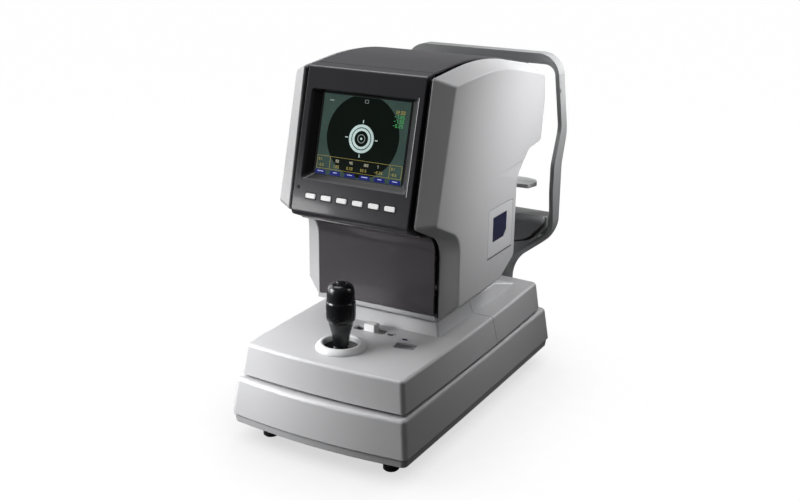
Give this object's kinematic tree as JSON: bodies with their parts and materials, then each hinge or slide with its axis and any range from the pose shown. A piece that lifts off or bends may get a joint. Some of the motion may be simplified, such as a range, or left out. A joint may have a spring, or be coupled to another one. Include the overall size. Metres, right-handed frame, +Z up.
{
  "type": "autorefractor",
  "caption": "Tabletop autorefractor: base, joystick-driven sliding carriage, rising measuring head with screen and keys, headrest with chinrest.",
  "frame": {"origin": "under the middle of the overall box, on the table surface that the feet stand on", "axes": "+Z up, +Y from the operator towards the patient, +X to the operator's right"},
  "size_m": [0.256, 0.4898, 0.4718],
  "materials": {
    "light_plastic": "fine satin texture",
    "black_rubber": "matte",
    "zinc_steel": "zinc plated",
    "folded_steel": "grey primer",
    "ground_steel": "ground",
    "black_plastic": "matte",
    "black_gloss": "polished",
    "cast_aluminium": "bead blasted",
    "grey_paint": "satin paint",
    "silicone": "soft matte",
    "grey_plastic": "satin",
    "mid_grey_plastic": "satin",
    "motor_metal": "satin",
    "pale_plastic": "satin",
    "tissue": "paper",
    "machined_aluminium": "machined",
    "brass": "turned",
    "white_plastic": "satin",
    "dark_key": "satin",
    "navy_plastic": "polished",
    "charcoal_plastic": "satin",
    "charcoal_gloss": "polished",
    "screen_glass": "display",
    "anodised": "black anodised",
    "lens_glass": "coated",
    "opal_plastic": "opal"
  },
  "bodies": {
    "base": {"base_plate": "light_plastic", "base_cover": "light_plastic", "foot_pads": "black_rubber", "foot_studs": "zinc_steel", "stage_chassis": "folded_steel", "stage_rails": "ground_steel", "power_supply": "folded_steel", "power_inlet": "black_plastic", "headrest_bracket": "cast_aluminium", "headrest_screws": "zinc_steel", "headrest_frame": "grey_paint", "forehead_pad": "silicone", "chinrest_housing": "mid_grey_plastic", "chinrest_cover": "grey_plastic", "chinrest_motor": "motor_metal"},
    "switch_rocker": {"switch_rocker": "black_gloss"},
    "chinrest": {"chin_post": "ground_steel", "chin_plate": "pale_plastic", "chin_paper": "tissue"},
    "cross_slide": {"cross_slide_plate": "machined_aluminium"},
    "carriage": {"carriage_plate": "machined_aluminium", "carriage_front_cover": "light_plastic", "carriage_rear_cover": "light_plastic", "joystick_ring": "light_plastic", "joystick_housing": "black_plastic", "column_tube": "ground_steel", "lift_motor": "motor_metal"},
    "lift_screw": {"lift_screw": "ground_steel"},
    "lock_lever": {"lock_lever": "white_plastic"},
    "print_button": {"print_button": "dark_key"},
    "gimbal": {"gimbal_ring": "brass"},
    "stick": {"joystick_stick": "black_gloss"},
    "grip": {"joystick_grip": "black_gloss"},
    "grip_button": {"grip_button": "black_gloss"},
    "head": {"left_shell": "light_plastic", "right_shell": "light_plastic", "hatch_panel": "light_plastic", "hatch_window": "navy_plastic", "side_frames": "black_plastic", "screen_bezel": "charcoal_plastic", "display_panel": "screen_glass", "top_cover": "charcoal_plastic", "rear_cover": "charcoal_plastic", "bottom_pan": "folded_steel", "front_sill": "light_plastic", "head_chassis": "cast_aluminium", "measuring_tube": "anodised", "nose_ring": "black_plastic", "objective_lens": "lens_glass", "mire_ring": "opal_plastic", "camera_module": "anodised", "printer_cradle": "black_plastic"},
    "printer_door": {"printer_door": "charcoal_gloss"},
    "paper_roll": {"paper_roll": "tissue"},
    "key_1": {"key_1": "white_plastic"},
    "key_2": {"key_2": "white_plastic"},
    "key_3": {"key_3": "white_plastic"},
    "key_4": {"key_4": "white_plastic"},
    "key_5": {"key_5": "white_plastic"},
    "key_6": {"key_6": "white_plastic"}
  },
  "joints": [
    {"name": "switch_rock", "type": "hinge", "parent": "base", "child": "switch_rocker", "pos_m": [-0.0744, 0.1876, 0.06], "axis": [1, 0, 0], "range_deg": [-16, 0]},
    {"name": "chinrest_lift", "type": "slide", "parent": "base", "child": "chinrest", "axis": [0, 0, 1], "range_m": [-0.025, 0.035]},
    {"name": "stage_fore_aft", "type": "slide", "parent": "base", "child": "cross_slide", "axis": [0, 1, 0], "range_m": [-0.02, 0.02]},
    {"name": "stage_sideways", "type": "slide", "parent": "cross_slide", "child": "carriage", "axis": [1, 0, 0], "range_m": [-0.044, 0.044]},
    {"name": "head_lift", "type": "slide", "parent": "carriage", "child": "head", "axis": [0, 0, 1], "range_m": [-0.006, 0.024]},
    {"name": "lift_screw_turn", "type": "hinge", "parent": "carriage", "child": "lift_screw", "pos_m": [0.044, 0.0046, 0.123], "axis": [0, 0, 1], "range_deg": [-550, 2170]},
    {"name": "grip_twist", "type": "hinge", "parent": "stick", "child": "grip", "pos_m": [-0.004, -0.1684, 0.17], "axis": [0, 0, 1], "range_deg": [-220, 870]},
    {"name": "grip_button_press", "type": "slide", "parent": "grip", "child": "grip_button", "axis": [0, 0, -1], "range_m": [0, 0.0015], "stiffness_N_per_m": 600},
    {"name": "stick_fore_aft", "type": "hinge", "parent": "carriage", "child": "gimbal", "pos_m": [-0.004, -0.1684, 0.116], "axis": [1, 0, 0], "range_deg": [-12, 12]},
    {"name": "stick_sideways", "type": "hinge", "parent": "gimbal", "child": "stick", "pos_m": [-0.004, -0.1684, 0.116], "axis": [0, 1, 0], "range_deg": [-12, 12]},
    {"name": "lock_slide", "type": "slide", "parent": "carriage", "child": "lock_lever", "axis": [1, 0, 0], "range_m": [-0.014, 0.011]},
    {"name": "print_button_press", "type": "slide", "parent": "carriage", "child": "print_button", "axis": [0, 0, -1], "range_m": [0, 0.0012], "stiffness_N_per_m": 500},
    {"name": "printer_door_swing", "type": "hinge", "parent": "head", "child": "printer_door", "pos_m": [0, -0.0859, 0.167], "axis": [1, 0, 0], "range_deg": [0, 35]},
    {"name": "paper_roll_spin", "type": "hinge", "parent": "head", "child": "paper_roll", "pos_m": [0, -0.0554, 0.21], "axis": [1, 0, 0], "continuous": true},
    {"name": "key_1_press", "type": "slide", "parent": "head", "child": "key_1", "axis": [0, 0.9681, -0.2504], "range_m": [0, 0.0008], "stiffness_N_per_m": 400},
    {"name": "key_2_press", "type": "slide", "parent": "head", "child": "key_2", "axis": [0, 0.9681, -0.2504], "range_m": [0, 0.0008], "stiffness_N_per_m": 400},
    {"name": "key_3_press", "type": "slide", "parent": "head", "child": "key_3", "axis": [0, 0.9681, -0.2504], "range_m": [0, 0.0008], "stiffness_N_per_m": 400},
    {"name": "key_4_press", "type": "slide", "parent": "head", "child": "key_4", "axis": [0, 0.9681, -0.2504], "range_m": [0, 0.0008], "stiffness_N_per_m": 400},
    {"name": "key_5_press", "type": "slide", "parent": "head", "child": "key_5", "axis": [0, 0.9681, -0.2504], "range_m": [0, 0.0008], "stiffness_N_per_m": 400},
    {"name": "key_6_press", "type": "slide", "parent": "head", "child": "key_6", "axis": [0, 0.9681, -0.2504], "range_m": [0, 0.0008], "stiffness_N_per_m": 400}
  ],
  "couplings": [
    {"joint": "lift_screw_turn", "follows": "head_lift", "rad_per_m": 1570.8},
    {"joint": "grip_twist", "follows": "head_lift", "rad_per_m": 628.32}
  ]
}
